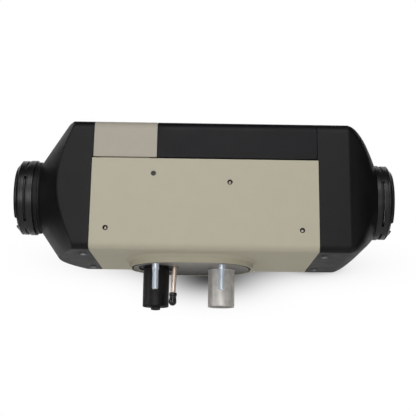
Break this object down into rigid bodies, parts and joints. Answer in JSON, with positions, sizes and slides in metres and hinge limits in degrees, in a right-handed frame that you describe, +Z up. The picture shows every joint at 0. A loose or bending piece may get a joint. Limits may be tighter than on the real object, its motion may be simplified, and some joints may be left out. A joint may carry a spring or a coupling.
{
  "type": "diesel air heater",
  "caption": "Flange-mounted ducted air heater: beige moulded shell, black covers and end hoods with duct collars, exhaust, intake and fuel stubs below.",
  "frame": {"origin": "centre of the four studs, on the lower face of the mounting flange", "axes": "+X along the duct from the cold-air inlet to the hot-air outlet, +Z up out of the flange, so the side seen in the picture faces -Y"},
  "size_m": [0.371, 0.1422, 0.1775],
  "materials": {
    "shell_beige": "satin moulded beige",
    "moulding_black": "fine-grained black",
    "collar_black": "semi-gloss black",
    "cast_aluminium": "as cast",
    "burner_steel": "heat-tinted steel",
    "gasket_grey": "graphite",
    "plug_steel": "turned steel",
    "spring_steel": "spring steel",
    "zinc_steel": "blue zinc",
    "intake_black": "matt black",
    "rubber_black": "matt rubber",
    "cap_rubber": "glossy rubber",
    "fuel_line_metal": "champagne plated steel",
    "blower_aluminium": "die cast",
    "motor_steel": "plated can",
    "bearing_steel": "ground steel",
    "impeller_plastic": "moulded",
    "fan_plastic": "moulded",
    "guide_plastic": "moulded",
    "unit_plastic": "moulded",
    "unit_aluminium": "brushed plate",
    "socket_plastic": "grey socket",
    "screw_grey": "dull zinc"
  },
  "bodies": {
    "housing": {"lower_shell": "shell_beige", "upper_cover": "moulding_black", "inlet_hood": "moulding_black", "outlet_hood": "moulding_black", "inlet_collar": "collar_black", "outlet_collar": "collar_black", "inlet_grille": "collar_black", "outlet_grille": "collar_black", "heat_exchanger": "cast_aluminium", "burner": "burner_steel", "burner_gasket": "gasket_grey", "glow_plug": "plug_steel", "temperature_sensor": "plug_steel", "sensor_clip": "spring_steel", "mounting_studs": "zinc_steel", "combustion_air_pipe": "intake_black", "intake_plug": "rubber_black", "fuel_pipe": "fuel_line_metal", "fuel_pipe_cap": "cap_rubber", "blower_housing": "blower_aluminium", "blower_cover": "blower_aluminium", "blower_screws": "zinc_steel", "motor": "motor_steel", "shaft_bearings": "bearing_steel", "air_guide": "guide_plastic", "control_unit": "unit_plastic", "control_unit_lid": "unit_aluminium", "control_socket": "socket_plastic", "harness_grommet": "rubber_black", "side_plug": "rubber_black", "side_screws": "screw_grey", "hood_screws": "zinc_steel"},
    "rotor": {"rotor_shaft": "bearing_steel", "combustion_impeller": "impeller_plastic", "fan_wheel": "fan_plastic", "fan_clip": "spring_steel"},
    "cover": {"service_cover": "shell_beige"}
  },
  "joints": [
    {"name": "rotor_spin", "type": "hinge", "parent": "housing", "child": "rotor", "pos_m": [0, 0, 0.07], "axis": [1, 0, 0], "continuous": true},
    {"name": "service_cover_lift", "type": "slide", "parent": "housing", "child": "cover", "axis": [0, 0, 1], "range_m": [0, 0.06]}
  ]
}
